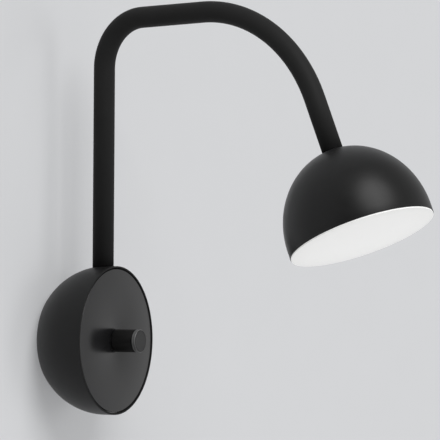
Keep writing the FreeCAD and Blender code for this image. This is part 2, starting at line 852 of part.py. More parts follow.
def stop_washer():
    """Washer keyed on the stem's flats; its tab runs between the block's two stop posts."""
    disc = Part.makeCylinder(stop_washer_radius, stop_washer_thick, V(0, 0, stop_washer_bottom))
    tab = sector(stop_tab_outer, stop_washer_radius - stop_tab_root, stop_washer_bottom,
                 stop_washer_top, stop_tab_direction, stop_tab_half)
    hole = Part.makeCylinder(stem_thread_radius + screw_play, stop_washer_thick,
                             V(0, 0, stop_washer_bottom))
    keep = stem_flat + screw_play
    key = box(V(-keep, -stem_radius, stop_washer_bottom), V(keep, stem_radius, stop_washer_top))
    return turned_arm(on_swivel(disc.fuse(tab).cut(hole.common(key)).removeSplitter()))


def wave_washer():
    washer = tube(wave_washer_radius, stem_thread_radius + screw_play, V(0, 0, wave_washer_bottom),
                  V(0, 0, stop_washer_bottom))
    return turned_arm(on_swivel(washer))


def stem_nut():
    nut = hexagon(stem_nut_flats, V(0, 0, stem_nut_bottom), V(0, 0, wave_washer_bottom),
                  stem_thread_radius + screw_play)
    return turned_arm(on_swivel(nut))


# ---------------------------------------------------------------- arm and shade

def arm_tube():
    edges = arm_line()[0]
    return turned_arm(pipe(edges, tube_radius).cut(pipe(edges, tube_bore)))


def shade_nipple():
    """Turned bush in the tube's upper end: plug, then a threaded neck through the shade."""
    outline = [(nipple_bore, shade_height - nipple_length), (nipple_radius, shade_height - nipple_length),
               (nipple_radius, shade_height), (tube_bore - stem_plug_play, shade_height),
               (tube_bore - stem_plug_play, shade_height + nipple_plug_length),
               (nipple_bore, shade_height + nipple_plug_length)]
    return on_shade(turned(outline))


def shade_shell():
    outer = dome(shade_radius, shade_curve, shade_lip, shade_height)
    inner = dome(shade_radius - shade_wall, shade_curve - shade_wall, shade_lip, crown_floor)
    shell = outer.cut(inner)
    shell = shell.cut(Part.makeCylinder(2 * shade_radius, diffuser_flange))
    hole = bar(nipple_radius + nipple_play, V(0, 0, crown_floor), V(0, 0, shade_height))
    return on_shade(shell.cut(hole))


def shade_washer():
    return on_shade(tube(shade_washer_radius, nipple_radius + nipple_play, V(0, 0, washer_floor),
                         V(0, 0, crown_floor)))


def shade_nut():
    return on_shade(hexagon(shade_nut_flats, V(0, 0, hub_ceiling - shade_nut_height),
                            V(0, 0, hub_ceiling), nipple_radius + nipple_play))


def sink_fin():
    """One upright fin between the hub and the plate's edge."""
    start = hub_radius - hub_wall / 2
    root = sink_plate_top - fin_root
    points = [V(start, 0, root), V(fin_reach, 0, root), V(fin_reach, 0, fin_outer_top),
              V(start, 0, fin_inner_top)]
    fin = Part.Face(Part.makePolygon(points + [points[0]])).extrude(V(0, fin_thick, 0))
    fin.translate(V(0, -fin_thick / 2, 0))
    return fin


def heat_sink():
    """Cast part: hollow hub that the shade nut clamps, round plate for the board, radial fins."""
    outline = [(nipple_radius + nipple_play, hub_top), (hub_radius, hub_top),
               (hub_radius, sink_plate_top), (sink_plate_radius, sink_plate_top),
               (sink_plate_radius, sink_plate_bottom), (hub_radius - hub_wall, sink_plate_bottom),
               (hub_radius - hub_wall, hub_ceiling), (nipple_radius + nipple_play, hub_ceiling)]
    sink = turned(outline)
    for n in range(fin_count):
        fin = sink_fin()
        fin.rotate(V(0, 0, 0), Z_AXIS, 360.0 * (n + 0.5) / fin_count)
        sink = sink.fuse(fin)
    for place in board_screw_places(sink_plate_bottom):
        sink = sink.cut(bar(board_screw_radius + screw_play, place, place + V(0, 0, sink_plate_thick)))
    return on_shade(sink.removeSplitter())


def board_screw_places(height):
    return spots(board_screw_count, board_screw_circle, height, led_start)


def led_board():
    board = tube(board_radius, board_hole, V(0, 0, board_bottom), V(0, 0, sink_plate_bottom))
    for place in board_screw_places(board_bottom):
        board = board.cut(bar(board_screw_radius + screw_play, place, place + V(0, 0, board_thick)))
    return on_shade(board)


def board_screws():
    screws = []
    for place in board_screw_places(board_bottom):
        head = bar(board_head_radius, place - V(0, 0, board_head_height), place)
        shank = bar(board_screw_radius, place, place + V(0, 0, board_thick + sink_plate_thick))
        screws.append(head.fuse(shank).removeSplitter())
    return on_shade(group(screws))


def led_chips():
    half = led_size / 2
    places = spots(led_inner_count, led_inner_circle, board_bottom, led_start)
    places += spots(led_outer_count, led_outer_circle, board_bottom)
    return on_shade(group([box(place - V(half, half, led_height), place + V(half, half, 0))
                           for place in places]))


def led_connector():
    half = connector_width / 2
    return on_shade(box(V(connector_place, -half, board_bottom - connector_height),
                        V(connector_place + connector_length, half, board_bottom)))


def reflector():
    """White cone from the board's edge down to the diffuser holder."""
    top = board_bottom
    outline = [(reflector_top_radius, top + board_thick), (reflector_top_radius, top),
               (reflector_low_radius, reflector_bottom),
               (reflector_low_radius + reflector_thick, reflector_bottom),
               (reflector_top_radius + reflector_thick, top),
               (reflector_top_radius + reflector_thick, top + board_thick)]
    return on_shade(turned(outline))


def diffuser_holder():
    """Ring inside the rim of the shade that the diffuser clicks into."""
    return on_shade(tube(holder_outer, holder_inner, V(0, 0, diffuser_flange),
                         V(0, 0, diffuser_flange + holder_height)))


def diffuser():
    """Opal disc that covers the rim, with a skirt that stands inside the holder."""
    skirt = holder_inner - diffuser_play
    outline = [(0, 0), (diffuser_radius - diffuser_round, 0), (diffuser_radius, diffuser_round),
               (diffuser_radius, diffuser_flange), (skirt, diffuser_flange),
               (skirt, diffuser_skirt_height), (skirt - diffuser_skirt_wall, diffuser_skirt_height),
               (skirt - diffuser_skirt_wall, diffuser_thick), (0, diffuser_thick)]
    return on_shade(turned(outline))


# ---------------------------------------------------------------- leads

def arm_lead():
    """Lead from the swivel's lower end through the tube to the connector on the LED board."""
    edges, end, angle = arm_line()
    foot = V(0, -tube_from_wall, stem_bottom)
    low = Part.makeLine(foot, edges[0].Vertexes[0].Point)
    heading = V(0, -math.sin(angle), math.cos(angle))
    level = board_bottom - connector_height / 2
    corner = end + heading * (shade_height - level)
    side = corner + X_AXIS * (connector_place - lead_end_play)
    tail = rounded_route([end, corner, side], [arm_lead_bend])
    return turned_arm(pipe([low] + edges + tail, arm_lead_radius))


def lamp_lead():
    """Lead inside the base from the driver to the swivel, where it meets the arm's lead."""
    start = V(0, -tube_from_wall, stem_bottom - lead_end_play)
    driver = V(lamp_lead_place, plate_front - driver_port_depth, driver_top)
    below = start - V(0, 0, stem_bottom - dimmer_size / 2 - lamp_lead_above)
    behind = face_back + dimmer_depth + lamp_lead_behind
    over = V(lamp_lead_over, behind, below.z - lamp_lead_fall)
    down = V(driver.x, driver.y, lamp_lead_knee)
    return pipe(rounded_route([start, below, over, down, driver], lamp_lead_bends), lamp_lead_radius)


def dimmer_lead():
    start = V(dimmer_lead_place, face_back + dimmer_depth, dimmer_lead_height)
    corner = V(dimmer_lead_place, plate_front - driver_port_depth, dimmer_lead_height)
    end = V(dimmer_lead_place, corner.y, driver_top)
    return pipe(rounded_route([start, corner, end], [dimmer_lead_bend]), dimmer_lead_radius)


def mains_leads():
    leads = []
    for place in (pole_places()[0], pole_places()[-1]):
        start = V(place.x, plate_front - terminal_depth / 2, terminal_bottom)
        end = V(place.x, start.y, driver_top)
        straight = V(0, 0, mains_lead_straight)
        bow = (start + end) * 0.5 - V(0, mains_lead_bow, 0)
        route = rounded_route([start, start - straight, bow, end + straight, end],
                              [mains_lead_bend, mains_lead_bow_bend, mains_lead_bend])
        leads.append(pipe(route, mains_lead_radius))
    return group(leads)


# ---------------------------------------------------------------- export

NODES = {
    "wall_plate": wall_plate,
    "cable_grommet": cable_grommet,
    "terminal_block": terminal_block,
    "terminal_screws": terminal_screws,
    "earth_washer": earth_washer,
    "earth_screw": earth_screw,
    "driver_case": driver_case,
    "driver_screws": driver_screws,
    "base_shell": base_shell,
    "hook_clip": hook_clip,
    "weld_nut": weld_nut,
    "set_screw": set_screw,
    "mounting_ring": mounting_ring,
    "face_plate": face_plate,
    "plate_nuts": plate_nuts,
    "dimmer_body": dimmer_body,
    "dimmer_nut": dimmer_nut,
    "dimmer_shaft": dimmer_shaft,
    "knob_insert": knob_insert,
    "dimmer_knob": dimmer_knob,
    "swivel_block": swivel_block,
    "block_screws": block_screws,
    "upper_friction_washer": upper_friction_washer,
    "lower_friction_washer": lower_friction_washer,
    "arm_stem": arm_stem,
    "stop_washer": stop_washer,
    "wave_washer": wave_washer,
    "stem_nut": stem_nut,
    "arm_tube": arm_tube,
    "shade_nipple": shade_nipple,
    "shade_shell": shade_shell,
    "shade_washer": shade_washer,
    "shade_nut": shade_nut,
    "heat_sink": heat_sink,
    "led_board": led_board,
    "board_screws": board_screws,
    "led_chips": led_chips,
    "led_connector": led_connector,
    "reflector": reflector,
    "diffuser_holder": diffuser_holder,
    "diffuser": diffuser,
    "arm_lead": arm_lead,
    "lamp_lead": lamp_lead,
    "dimmer_lead": dimmer_lead,
    "mains_leads": mains_leads,
}

os.makedirs("parts", exist_ok=True)
for name, make in NODES.items():
    make().exportStep("parts/" + name + ".step")
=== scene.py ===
# %% [markdown]
# # A wall light, dressed in Blender
# The light has a half-round black base with a turn knob in its face, a bent black tube and a
# half-round shade with a white diffuser. The packed model gives every piece its place and size in
# metres, so it is loaded first. The outer skins are then made again with finer edges, and every
# piece gets the finish of the real one.

# %% Load the model
import json
from math import asin, cos, pi, radians, sin, sqrt, tau

import bmesh
import bpy
from mathutils import Matrix, Vector

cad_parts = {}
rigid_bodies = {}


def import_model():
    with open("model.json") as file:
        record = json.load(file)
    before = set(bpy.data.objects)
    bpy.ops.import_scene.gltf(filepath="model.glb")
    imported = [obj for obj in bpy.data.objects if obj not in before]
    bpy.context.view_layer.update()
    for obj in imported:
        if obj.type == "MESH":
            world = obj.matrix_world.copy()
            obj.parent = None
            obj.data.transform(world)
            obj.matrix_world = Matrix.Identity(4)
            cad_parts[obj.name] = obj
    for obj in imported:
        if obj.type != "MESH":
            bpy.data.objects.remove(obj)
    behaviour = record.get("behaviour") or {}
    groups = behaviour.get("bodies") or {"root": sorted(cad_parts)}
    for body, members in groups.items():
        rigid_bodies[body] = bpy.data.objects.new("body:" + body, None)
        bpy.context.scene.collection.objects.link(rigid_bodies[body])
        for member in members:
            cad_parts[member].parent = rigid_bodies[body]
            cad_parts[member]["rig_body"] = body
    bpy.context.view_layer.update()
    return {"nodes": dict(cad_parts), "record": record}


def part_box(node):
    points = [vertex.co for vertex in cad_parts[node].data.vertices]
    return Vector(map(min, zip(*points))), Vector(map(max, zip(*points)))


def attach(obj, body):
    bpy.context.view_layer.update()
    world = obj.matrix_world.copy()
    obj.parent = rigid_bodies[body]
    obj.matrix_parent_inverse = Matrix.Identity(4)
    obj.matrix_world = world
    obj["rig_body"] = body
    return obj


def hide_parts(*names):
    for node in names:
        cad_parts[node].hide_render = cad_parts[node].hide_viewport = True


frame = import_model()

nodes = frame["nodes"]
print("pieces of the model:", len(nodes))

# %% [markdown]
# ## The camera
# The photograph was taken from far away with a long lens, from the left of the light and nearly
# level with it. Its place was worked out from the edges of the tube, the base and the shade. The
# camera looks along its own -Z, so its matrix has right, up and the reverse of the aim as columns.
# A small roll turns it the way the photographer held it.

# %% Camera
LENGTHS = 0.001  # sizes below are written in millimetres
CAMERA_DISTANCE = 7860.0

sideways, downwards, roll = radians(-60.86), radians(-0.68), radians(0.40)
aim = Vector((-sin(sideways) * cos(downwards), cos(sideways) * cos(downwards), sin(downwards)))
level = aim.cross(Vector((0, 0, 1))).normalized()
upright = level.cross(aim)
right = level * cos(roll) + upright * sin(roll)
top = upright * cos(roll) - level * sin(roll)
looked_at = Vector((0, -120.6, 80.3)) * LENGTHS
lens = bpy.data.cameras.new("photo_camera")
lens.lens = 981.8
lens.sensor_width = 36.0
lens.clip_start = 1.0
lens.clip_end = 60.0
camera = bpy.data.objects.new("photo_camera", lens)
stand = Matrix.Translation(looked_at - aim * CAMERA_DISTANCE * LENGTHS)
camera.matrix_world = stand @ Matrix((right, top, -aim)).transposed().to_4x4()
bpy.context.scene.collection.objects.link(camera)
bpy.context.scene.camera = camera
bpy.context.scene.view_settings.view_transform = "Standard"
print("camera stands at", [round(value, 3) for value in stand.translation])

# %% [markdown]
# ## Shader sums
# A finish is a small net of nodes. Written by hand, each sum takes four lines, so one class wraps an
# output and lets Python's own signs add the Math nodes. Each sign has two methods, one for when the
# wire stands before it and one for when the wire stands after it, as in 1 - wire.

# %% Wire
def both_sides(operation):
    """The two methods of one of Python's signs: with the wire first, and with the wire last."""
    return (lambda wire, other: wire.sum(operation, wire, other),
            lambda wire, other: wire.sum(operation, other, wire))


class Wire:
    """An output in a net; a sum on it adds a Math node."""

    def __init__(self, net, socket):
        self.net = net
        self.socket = socket

    def sum(self, operation, first, second, clamp=False):
        return self.net.node("Math", {"operation": operation, "use_clamp": clamp}, {0: first, 1: second})

    __add__, __radd__ = both_sides("ADD")
    __sub__, __rsub__ = both_sides("SUBTRACT")
    __mul__, __rmul__ = both_sides("MULTIPLY")
    __truediv__, __rtruediv__ = both_sides("DIVIDE")
    __pow__, __rpow__ = both_sides("POWER")

    def clipped(self):
        """Kept between 0 and 1."""
        return self.sum("ADD", self, 0.0, clamp=True)


print("signs with the wire last:", [name for name in vars(Wire) if name.startswith("__r")])

# %% [markdown]
# ## Nets and finishes
# A net holds the nodes of a material or of the world. Its one method makes any node from its kind,
# its settings and what goes into its sockets, so that a finish reads as a list of what it is made
# of. A finish is a net that is a material. It adds the three things that nearly every finish needs:
# noise, a blend of two colours, and the shader itself with its relief.

# %% Net and Finish
class Net:
    """The nodes of a material or of the world."""

    def __init__(self, owner):
        self.owner = owner
        owner.use_nodes = True
        self.tree = owner.node_tree
        self.tree.nodes.clear()

    def node(self, kind, settings=None, inputs=None, output=0):
        made = self.tree.nodes.new("ShaderNode" + kind)
        for name, value in (settings or {}).items():
            setattr(made, name, value)
        for name, value in (inputs or {}).items():
            if isinstance(value, Wire):
                self.tree.links.new(value.socket, made.inputs[name])
            else:
                made.inputs[name].default_value = value
        return Wire(self, made.outputs[output]) if made.outputs else None


class Finish(Net):
    """A material made node by node, in the object's own coordinates."""

    def __init__(self, name):
        super().__init__(bpy.data.materials.new(name))
        self.place = self.node("TexCoord", output="Object")

    def noise(self, size, detail=2.0):
        """Cloudy noise, 0 to 1, whose patches are about size millimetres across."""
        return self.node("TexNoise", {}, {"Vector": self.place, "Scale": 1 / (size * LENGTHS),
                                          "Detail": detail})

    def blend(self, amount, first, second):
        return self.node("Mix", {"data_type": "RGBA"}, {0: amount, 6: first, 7: second}, output=2)

    def skin(self, colour, roughness, height, depth, **sockets):
        """The shader itself: a relief of depth millimetres, colour, roughness and what else is given."""
        relief = self.node("Bump", {}, {"Height": height, "Distance": depth * LENGTHS})
        inputs = {"Base Color": colour, "Roughness": roughness, "Normal": relief}
        inputs.update({name.replace("_", " "): value for name, value in sockets.items()})
        self.node("OutputMaterial", {}, {"Surface": self.node("BsdfPrincipled", {}, inputs)})
        return self.owner


print("a finish adds", [name for name in vars(Finish) if not name.startswith("_")])

# %% [markdown]
# ## Tones
# Colours below are written as they look on screen, from 0 to 255. A shader reckons with amounts of
# light, which don't grow in step with the screen's numbers, so each tone is turned into those first.

# %% Tones
def tone(red, green, blue):
    """A colour as seen on screen, 0 to 255, turned into the linear values that a shader takes."""
    parts = [value / 255 for value in (red, green, blue)]
    return [v / 12.92 if v <= 0.04045 else ((v + 0.055) / 1.055) ** 2.4 for v in parts] + [1.0]


print("mid grey is", round(tone(128, 128, 128)[0], 3), "in a shader")

# %% [markdown]
# ## The studio
# The photograph has a plain pale grey wall and soft light. The wall and the floor are two sheets that
# belong to the stage. They show only to the camera and in reflections, and only from the room's
# side, so that a view from behind sees through them and light passes. A third of their tone is a
# faint glow of their own, which keeps shadows as pale as in the photograph.

# %% Stage
WALL_TONE = tone(211, 212, 214)
OWN_GLOW = 0.35
SHEET_HALF, FLOOR_LEVEL = 3000.0, -600.0
BEHIND_PLATE = 0.2  # from the back of the wall plate to the wall


def stage_finish():
    finish = Finish("pale_wall")
    kind = {name: finish.node("LightPath", {}, {}, name) for name in ("Is Camera Ray", "Is Glossy Ray")}
    behind = finish.node("NewGeometry", output="Backfacing")
    seen = (kind["Is Camera Ray"] + kind["Is Glossy Ray"]) * (1 - behind)
    colour = finish.blend(finish.noise(40, 3.0), tone(217, 218, 220), tone(220, 221, 223))
    matt = finish.node("BsdfDiffuse", {}, {"Color": colour})
    glow = finish.node("Emission", {}, {"Color": WALL_TONE})
    lifted = finish.node("MixShader", {}, {0: OWN_GLOW, 1: matt, 2: glow})
    clear = finish.node("BsdfTransparent")
    shown = finish.node("MixShader", {}, {0: seen, 1: clear, 2: lifted})
    finish.node("OutputMaterial", {}, {"Surface": shown})
    return finish.owner


def sheet_of_stage(name, turn, middle, finish):
    mesh = bmesh.new()
    bmesh.ops.create_grid(mesh, x_segments=1, y_segments=1, size=SHEET_HALF * LENGTHS)
    place = Matrix.Translation(Vector(middle) * LENGTHS) @ turn
    bmesh.ops.transform(mesh, matrix=place, verts=mesh.verts)
    data = bpy.data.meshes.new(name)
    mesh.to_mesh(data)
    mesh.free()
    data.materials.append(finish)
    sheet = bpy.data.objects.new(name, data)
    bpy.context.scene.collection.objects.link(sheet)


pale = stage_finish()
sheet_of_stage("stage_wall", Matrix.Rotation(radians(90), 4, "X"),
               (0, BEHIND_PLATE, FLOOR_LEVEL + SHEET_HALF), pale)
sheet_of_stage("stage_floor", Matrix.Identity(4), (0, -SHEET_HALF, FLOOR_LEVEL), pale)
print("stage: wall and floor")

# %% [markdown]
# ## Lamps and world
# Black paint shows little but what it reflects, so the room's light matters most: the world is dim
# above and on the camera's side and bright on the other, which gives the face plate its sheen. A
# weak broad sun casts the soft shadow of the tube on the wall, and a softbox above and in front
# leaves its round gleam on the shade. Both are suns, which have a direction but no place, so they
# light every part of the object alike.

# %% Lamps and world
def soft_sun(name, towards, strength, spread):
    """Light that comes from the direction given, spread over an angle in degrees."""
    lamp = bpy.data.lights.new(name, "SUN")
    lamp.energy = strength * pi
    lamp.angle = radians(spread)
    holder = bpy.data.objects.new(name, lamp)
    holder.matrix_world = Vector(towards).to_track_quat("Z", "Y").to_matrix().to_4x4()
    holder.visible_camera = False
    bpy.context.scene.collection.objects.link(holder)


def world_light(middle, slope):
    """A world of middle strength that grows along the slope, and the wall's tone to the camera."""
    net = Net(bpy.data.worlds.new("studio"))
    towards = net.node("TexCoord", output="Generated")
    strength = net.node("VectorMath", {"operation": "DOT_PRODUCT"}, {0: towards, 1: slope}, "Value") + middle
    fill = net.node("Background", {}, {"Color": (0.8, 0.8, 0.8, 1.0), "Strength": strength})
    seen = net.node("Background", {}, {"Color": WALL_TONE})
    camera_ray = net.node("LightPath", output="Is Camera Ray")
    net.node("OutputWorld", {}, {"Surface": net.node("MixShader", {}, {0: camera_ray, 1: fill, 2: seen})})
    bpy.context.scene.world = net.owner


soft_sun("key", (0.39, -0.92, 0.06), 0.09, 26)
soft_sun("softbox", (-0.31, -0.59, 0.74), 0.70, 44)
world_light(0.55, (0.22, 0.0, -0.20))
print("lamps:", [lamp.name for lamp in bpy.data.lights])

# %% [markdown]
# ## Powder coat
# The base, the arm and the shade are steel and aluminium, sprayed with black powder that is then
# baked. The powder melts into a skin with a fine pebbled relief, which spreads the light into a
# soft sheen. Close by, the black holds tiny lighter specks, and its shine changes a little from
# patch to patch. All of it comes from noise at three sizes. Round the base's sharp front edge the
# colour is darkened as painted shade and the coat is made duller, by a ramp on the distance from
# the wall.

# %% Powder coat finish
BASE_DEPTH = 43.0  # from the wall to the base's front edge


def from_wall(finish):
    """Distance from the wall in metres."""
    return 0 - finish.node("SeparateXYZ", {}, {0: finish.place}, "Y")


def beyond(distance, start, width):
    """0 up to a start, rising to 1 over a width; both in millimetres."""
    return ((distance - start * LENGTHS) / (width * LENGTHS)).clipped()


def powder_coat(name, dark, light, shine, gloss, edge=None):
    finish = Finish(name)
    cloud = finish.noise(14.0, 3.0)
    pebbles = finish.noise(0.45)
    specks = finish.noise(0.16, 1.0)
    lit = ((specks - 0.62) * 6.0).clipped()  # only the tops of the fine noise are specks
    colour = finish.blend(cloud * 0.6 + lit * 0.4, dark, light)
    roughness = shine + (cloud - 0.5) * 0.10 + (pebbles - 0.5) * 0.12
    if edge:
        rim_shade_mask = edge(finish)
        # painted shade: the front edge's colour is darkened to tone 10, and its coat made rougher
        colour = finish.blend(rim_shade_mask, colour, tone(10, 10, 10))
        roughness = roughness + rim_shade_mask * 0.3
    return finish.skin(colour, roughness, pebbles * 0.8 + specks * 0.2, 0.007, Specular_IOR_Level=gloss)


def base_rim_shade(finish):
    """Mask of the painted shade and duller coat: 1 at the base's front edge, 0 further in than 0.4 mm."""
    return beyond(from_wall(finish), BASE_DEPTH - 0.4, 0.3)


base_paint = powder_coat("base_powder_coat", tone(15, 15, 15), tone(23, 23, 23), 0.44, 0.30, edge=base_rim_shade)
arm_paint = powder_coat("arm_powder_coat", tone(38, 38, 38), tone(47, 47, 47), 0.58, 0.08)
shade_paint = powder_coat("shade_powder_coat", tone(15, 15, 15), tone(23, 23, 23), 0.40, 0.28)
print("powder coats:", base_paint.name, arm_paint.name, shade_paint.name)

# %% [markdown]
# ## Face plate and knob
# The face plate is flat sheet with a smoother coat, a shade greyer than the base, and hands that
# reach for the knob leave it a little shinier round the middle. The knob is turned metal, darkened
# in a bath: its grip is nearly black with ridges rubbed paler, its smooth band is lighter, and its
# end carries the fine rings that the lathe tool leaves, inside a dark rim. The rings are a sine of
# the distance from the knob's axis, so they stay round from every side.

# %% Face and knob finishes
KNOB_RADIUS, BAND_START, KNOB_END = 7.5, 15.8, 18.4  # the last two from the base's front edge
RIM_WIDTH, RUBBED_DEPTH, RING_PITCH = 0.95, 0.14, 0.22
HANDLED_RADIUS = 24.0  # how far from the knob the plate is touched


def from_axis(finish, place, across):
    """Distance in metres from an axis, given the two coordinates that lie across it."""
    first, second = (finish.node("SeparateXYZ", {}, {0: place}, part) for part in across)
    return (first * first + second * second) ** 0.5


def from_base_axis(finish):
    """Distance in metres from the axis through the knob and the base."""
    return from_axis(finish, finish.place, "XZ")


def face_coat():
    finish = Finish("face_coat")
    cloud = finish.noise(18.0, 3.0)
    grain = finish.noise(0.35)
    near_knob = (1 - from_base_axis(finish) / (HANDLED_RADIUS * LENGTHS)).clipped()
    handled = near_knob * finish.noise(5.0, 3.0)
    colour = finish.blend(cloud, tone(22, 22, 23), tone(30, 30, 31))
    roughness = 0.25 + (cloud - 0.5) * 0.05 + (grain - 0.5) * 0.07 - handled * 0.06
    return finish.skin(colour, roughness, grain, 0.004)


def knob_metal():
    finish = Finish("knob_dark_metal")
    radius, outwards = from_base_axis(finish), from_wall(finish)
    at_band = beyond(outwards, BASE_DEPTH + BAND_START, 0.05)
    at_end = beyond(outwards, BASE_DEPTH + KNOB_END - 0.1, 0.08)
    at_rim = beyond(radius, KNOB_RADIUS - RIM_WIDTH, 0.1)
    on_ridge = beyond(radius, KNOB_RADIUS - RUBBED_DEPTH, RUBBED_DEPTH)
    cloud = finish.noise(3.0, 3.0)
    grip = finish.blend(on_ridge * 0.5, finish.blend(cloud, tone(17, 17, 18), tone(23, 23, 24)),
                        tone(84, 83, 82))
    band = finish.blend(cloud, tone(104, 104, 105), tone(116, 116, 116))
    disc = finish.blend(at_rim, finish.blend(cloud, tone(54, 54, 55), tone(62, 62, 62)), tone(10, 10, 10))
    colour = finish.blend(at_end, finish.blend(at_band, grip, band), disc)
    roughness = 0.34 + (cloud - 0.5) * 0.10 + at_end * 0.06
    rings = finish.node("Math", {"operation": "SINE"}, {0: radius * (tau / (RING_PITCH * LENGTHS))})
    height = (rings * 0.5 + 0.5) * at_end * 0.6 + finish.noise(0.2) * 0.4
    return finish.skin(colour, roughness, height, 0.006, Metallic=0.3, Specular_IOR_Level=0.1)


face_paint = face_coat()
knob_black = knob_metal()
print("face and knob:", face_paint.name, knob_black.name)

# %% [markdown]
# ## Where the arm leads
# The tube rises from the swivel in the base, bends twice and ends on the crown of the shade. A point
# and an angle are walked along it: over each bend round its centre, then along the straight run
# after it. What comes out is the place of the shade. It is needed before the diffuser's finish,
# whose glow follows the distance from the shade's axis, and again for the shapes.

# %% Where the arm leads
SWIVEL_DEPTH = 32.7  # from the wall to the axis that the arm turns about
BENDS = ((34.0, 86.0, 50.7), (94.4, 70.0, 38.0))  # radius, degrees, straight run after the bend
FOOT, RISE, TURN = 45.1, 178.9, -9.0  # tube's lower end, start of the first bend, degrees at rest
SHADE_RADIUS, SHADE_CURVE, SHADE_LIP, SHADE_FLAT = 49.0, 54.4, 6.5, 7.4
SHADE_HEIGHT = SHADE_LIP + SHADE_CURVE * sqrt(1 - (SHADE_FLAT / SHADE_RADIUS) ** 2)

to_swivel = Matrix.Translation(Vector((0, -SWIVEL_DEPTH, 0)) * LENGTHS)
arm_turn = to_swivel @ Matrix.Rotation(radians(TURN), 4, "Z") @ to_swivel.inverted()
point, angle = Vector((0, -SWIVEL_DEPTH, RISE)), 0.0
for radius, bend, run in BENDS:
    point -= Vector((0, cos(angle), sin(angle))) * radius
    angle += radians(bend)
    point += Vector((0, cos(angle), sin(angle))) * radius + Vector((0, -sin(angle), cos(angle))) * run
heading = Vector((0, -sin(angle), cos(angle)))
on_shade = (arm_turn @ Matrix.Translation((point + heading * SHADE_HEIGHT) * LENGTHS)
            @ Matrix.Rotation(angle - pi, 4, "X"))
print("middle of the shade's rim, mm:", [round(value / LENGTHS, 1) for value in on_shade.translation])

# %% [markdown]
# ## Opal diffuser
# The diffuser is milky plastic in front of a ring of small lamps, with a fine satin grain from its
# mould. It shows as one white: its glow is painted light, an emission colour that keeps the
# downward-facing disc that white, a touch dimmer at its rim. The glow fades towards the rim with
# the distance from the disc's axis, which leans with the shade.

# %% Opal finish
CAP_RADIUS = 48.6


def from_shade_axis(finish):
    """Distance in metres from the shade's axis: object coordinates turned so that it is their Z."""
    back = on_shade.inverted()
    turned = finish.node("VectorRotate", {"rotation_type": "EULER_XYZ"},
                         {"Vector": finish.place, "Rotation": back.to_euler("XYZ")})
    place = finish.node("VectorMath", {"operation": "ADD"}, {0: turned, 1: back.translation})
    return from_axis(finish, place, "XY")


def opal_finish():
    finish = Finish("opal_diffuser")
    out = (from_shade_axis(finish) / (CAP_RADIUS * LENGTHS)).clipped()
    cloud = finish.noise(9.0)
    grain = finish.noise(0.3)
    colour = finish.blend(cloud, tone(226, 226, 224), tone(232, 232, 231))
    # painted light: the emission glow keeps the downward-facing disc white, dimmer towards the rim
    glow = finish.blend(out ** 6.0 * 0.5 + cloud * 0.06, tone(162, 162, 162), tone(142, 142, 141))
    return finish.skin(colour, 0.45 + (grain - 0.5) * 0.1, grain, 0.003, Emission_Color=glow,
                       Emission_Strength=1.0)


opal = opal_finish()
print("diffuser:", opal.name)

# %% [markdown]
# ## Inner metals and plastics
# Nobody sees the inside until the light is taken down, yet each piece there is a real part with a
# real finish. Zinc-plated steel has pale cells, cast aluminium is grainy, turned brass and bright
# screws are cleaner, and sprung steel is blued black. Moulded plastics share one recipe: a colour
# that drifts a little, a satin grain and a low shine. Rubber is the dullest of them. Each piece
# takes the finish that its row in the model's record names.

# %% Metals, plastics and the slots they fill
def bare_metal(name, dark, light, shine, cell, relief):
    finish = Finish(name)
    cells = finish.node("TexVoronoi", {"feature": "F1"},
                        {"Vector": finish.place, "Scale": 1 / (cell * LENGTHS)}, "Color")
    patch = finish.node("SeparateColor", {}, {0: cells})
    cloud = finish.noise(4.0, 3.0)
    grain = finish.noise(0.25, 3.0)
    colour = finish.blend(patch * 0.5 + cloud * 0.5, dark, light)
    roughness = shine + (patch - 0.5) * 0.14 + (grain - 0.5) * 0.15
    return finish.skin(colour, roughness, grain, relief, Metallic=1.0)


def moulded(name, dark, light, shine, grain_size=0.3, relief=0.006):
    finish = Finish(name)
    cloud = finish.noise(6.0, 3.0)
    grain = finish.noise(grain_size)
    colour = finish.blend(cloud, dark, light)
    return finish.skin(colour, shine + (grain - 0.5) * 0.14, grain, relief)


finishes = {
    "base_paint": base_paint, "face_paint": face_paint, "arm_paint": arm_paint,
    "shade_paint": shade_paint, "knob_black": knob_black, "opal": opal,
    "zinc_steel": bare_metal("zinc_plate", tone(150, 152, 154), tone(184, 186, 188), 0.38, 3.0, 0.006),
    "screw_steel": bare_metal("bright_screw", tone(165, 165, 165), tone(192, 192, 190), 0.28, 0.8, 0.003),
    "black_steel": bare_metal("blued_steel", tone(38, 39, 42), tone(58, 58, 60), 0.40, 1.5, 0.006),
    "brass": bare_metal("turned_brass", tone(176, 142, 82), tone(205, 172, 106), 0.30, 1.0, 0.003),
    "cast_aluminium": bare_metal("cast_aluminium", tone(160, 161, 162), tone(190, 190, 190), 0.5, 0.7, 0.03),
    "nylon": moulded("nylon_washer", tone(214, 210, 198), tone(226, 223, 212), 0.42),
    "terminal_plastic": moulded("terminal_plastic", tone(205, 205, 200), tone(218, 218, 214), 0.44),
    "driver_plastic": moulded("driver_plastic", tone(222, 222, 220), tone(233, 233, 232), 0.46, 0.5, 0.012),
    "dimmer_plastic": moulded("dimmer_plastic", tone(26, 28, 31), tone(36, 38, 41), 0.45, 0.4, 0.010),
    "board_white": moulded("board_white", tone(226, 228, 226), tone(238, 239, 237), 0.35, 0.2, 0.003),
    "led_yellow": moulded("chip_phosphor", tone(226, 190, 70), tone(240, 208, 96), 0.30, 0.15, 0.004),
    "reflector_white": moulded("reflector_white", tone(228, 229, 230), tone(240, 241, 241), 0.30),
    "holder_white": moulded("holder_white", tone(216, 216, 214), tone(228, 228, 226), 0.45),
    "grommet_rubber": moulded("grommet_rubber", tone(24, 24, 25), tone(38, 38, 38), 0.68, 0.5, 0.02),
    "lead_white": moulded("lead_white", tone(208, 208, 204), tone(222, 222, 219), 0.42, 0.6, 0.01),
    "lead_grey": moulded("lead_grey", tone(98, 99, 101), tone(118, 119, 121), 0.45, 0.6, 0.01),
}
slots = {part["node"]: part["material_slot"] for part in frame["record"]["subparts"]}
